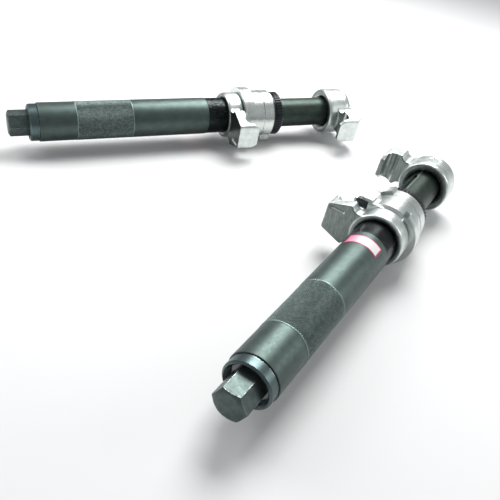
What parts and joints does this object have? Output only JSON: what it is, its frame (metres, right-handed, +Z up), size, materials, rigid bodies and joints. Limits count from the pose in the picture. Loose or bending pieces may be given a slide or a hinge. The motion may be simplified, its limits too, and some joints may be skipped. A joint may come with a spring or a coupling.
{
  "type": "coil spring compressor set",
  "caption": "Telescopic spring compressors laid side by side: hex drive, knurled tube, fixed hook with swinging latch ring and knob, sliding hook on an inner tube.",
  "frame": {"origin": "centre of the right tool's hexagon end face, on the tool's axis", "axes": "+Y along the right tool from its hexagon towards its hooks, +Z up, -X towards its jaws and the left tool"},
  "size_m": [0.4318, 0.5158, 0.0648],
  "materials": {
    "gunmetal_tube": "phosphated gunmetal steel, satin",
    "gunmetal_inner": "ground and phosphated steel, satin",
    "gunmetal_screw": "dark steel with bright worn edges",
    "blued_collar": "turned steel, faintly blued",
    "zinc_hook": "forged steel, satin zinc plate",
    "zinc_latch": "machined steel, satin zinc plate",
    "black_oxide": "black oxide steel, satin",
    "black_knob": "knurled steel, black",
    "bearing_steel": "ground steel, bright",
    "bronze": "turned bronze",
    "white_washer": "white nylon",
    "black_rubber": "black rubber",
    "label_film": "plain white film with a pink border"
  },
  "bodies": {
    "right_tube": {"right_outer_tube": "gunmetal_tube", "right_end_collar": "blued_collar", "right_dust_washer": "white_washer", "right_rear_race": "bearing_steel", "right_thrust_balls": "bearing_steel", "right_bearing_plug": "gunmetal_screw", "right_screw_bush": "bronze", "right_splined_sleeve": "black_oxide", "right_guide_key": "bearing_steel", "right_lock_nut": "black_oxide", "right_wiper_ring": "black_rubber", "right_label": "label_film"},
    "right_screw": {"right_drive_screw": "gunmetal_screw", "right_front_race": "bearing_steel", "right_circlip": "bearing_steel"},
    "right_inner": {"right_inner_tube": "gunmetal_inner", "right_screw_nut": "bronze", "right_end_plug": "black_oxide"},
    "right_fixed_hook": {"right_fixed_hook": "zinc_hook"},
    "right_latch": {"right_latch_ring": "zinc_latch"},
    "right_knob": {"right_latch_knob": "black_knob"},
    "right_pad": {"right_latch_pad": "bearing_steel"},
    "right_sliding_hook": {"right_sliding_hook": "zinc_hook", "right_hook_pin": "zinc_latch"},
    "left_tube": {"left_outer_tube": "gunmetal_tube", "left_end_collar": "blued_collar", "left_dust_washer": "white_washer", "left_rear_race": "bearing_steel", "left_thrust_balls": "bearing_steel", "left_bearing_plug": "gunmetal_screw", "left_screw_bush": "bronze", "left_splined_sleeve": "black_oxide", "left_guide_key": "bearing_steel", "left_lock_nut": "black_oxide", "left_wiper_ring": "black_rubber", "left_label": "label_film"},
    "left_screw": {"left_drive_screw": "gunmetal_screw", "left_front_race": "bearing_steel", "left_circlip": "bearing_steel"},
    "left_inner": {"left_inner_tube": "gunmetal_inner", "left_screw_nut": "bronze", "left_end_plug": "black_oxide"},
    "left_fixed_hook": {"left_fixed_hook": "zinc_hook"},
    "left_latch": {"left_latch_ring": "zinc_latch"},
    "left_knob": {"left_latch_knob": "black_knob"},
    "left_pad": {"left_latch_pad": "bearing_steel"},
    "left_sliding_hook": {"left_sliding_hook": "zinc_hook", "left_hook_pin": "zinc_latch"}
  },
  "joints": [
    {"name": "right_screw_turn", "type": "hinge", "parent": "right_tube", "child": "right_screw", "pos_m": [0, 0, 0], "axis": [0, 1, 0], "range_deg": [-4050, 5400]},
    {"name": "right_inner_slide", "type": "slide", "parent": "right_tube", "child": "right_inner", "axis": [0, 1, 0], "range_m": [-0.06, 0.045]},
    {"name": "right_fixed_hook_turn", "type": "hinge", "parent": "right_tube", "child": "right_fixed_hook", "pos_m": [0, 0.2525, 0], "axis": [0, 1, 0], "range_deg": [-120, 120]},
    {"name": "right_latch_swing", "type": "hinge", "parent": "right_fixed_hook", "child": "right_latch", "pos_m": [0, 0.28, 0], "axis": [0, 1, 0], "range_deg": [-40, 25]},
    {"name": "right_knob_turn", "type": "hinge", "parent": "right_latch", "child": "right_knob", "pos_m": [-0.0212, 0.2672, 0.0195], "axis": [-1, 0, 0], "range_deg": [0, 1260]},
    {"name": "right_pad_slide", "type": "slide", "parent": "right_latch", "child": "right_pad", "axis": [-1, 0, 0], "range_m": [0, 0.0035]},
    {"name": "right_sliding_hook_turn", "type": "hinge", "parent": "right_inner", "child": "right_sliding_hook", "pos_m": [0, 0.3988, 0], "axis": [0, 1, 0], "range_deg": [-120, 120]},
    {"name": "left_screw_turn", "type": "hinge", "parent": "left_tube", "child": "left_screw", "pos_m": [-0.389, 0.159, 0], "axis": [0.5592, 0.829, 0], "range_deg": [-4050, 5400]},
    {"name": "left_inner_slide", "type": "slide", "parent": "left_tube", "child": "left_inner", "axis": [0.5592, 0.829, 0], "range_m": [-0.06, 0.045]},
    {"name": "left_fixed_hook_turn", "type": "hinge", "parent": "left_tube", "child": "left_fixed_hook", "pos_m": [-0.2478, 0.36833, 0], "axis": [0.5592, 0.829, 0], "range_deg": [-120, 120]},
    {"name": "left_latch_swing", "type": "hinge", "parent": "left_fixed_hook", "child": "left_latch", "pos_m": [-0.23243, 0.39113, 0], "axis": [0.5592, 0.829, 0], "range_deg": [-40, 25]},
    {"name": "left_knob_turn", "type": "hinge", "parent": "left_latch", "child": "left_knob", "pos_m": [-0.22201, 0.36866, -0.0195], "axis": [0.829, -0.5592, 0], "range_deg": [0, 1260]},
    {"name": "left_pad_slide", "type": "slide", "parent": "left_latch", "child": "left_pad", "axis": [0.829, -0.5592, 0], "range_m": [0, 0.0035]},
    {"name": "left_sliding_hook_turn", "type": "hinge", "parent": "left_inner", "child": "left_sliding_hook", "pos_m": [-0.16599, 0.48962, 0], "axis": [0.5592, 0.829, 0], "range_deg": [-120, 120]},
    {"name": "left_tool_slide", "type": "slide", "parent": "right_tube", "child": "left_tube", "axis": [-1, 0, 0], "range_m": [0, 0.12]}
  ],
  "couplings": [
    {"joint": "right_screw_turn", "follows": "right_inner_slide", "rad_per_m": -1570.8},
    {"joint": "right_knob_turn", "follows": "right_pad_slide", "rad_per_m": 6283.1},
    {"joint": "left_screw_turn", "follows": "left_inner_slide", "rad_per_m": -1570.8},
    {"joint": "left_knob_turn", "follows": "left_pad_slide", "rad_per_m": 6283.1}
  ]
}
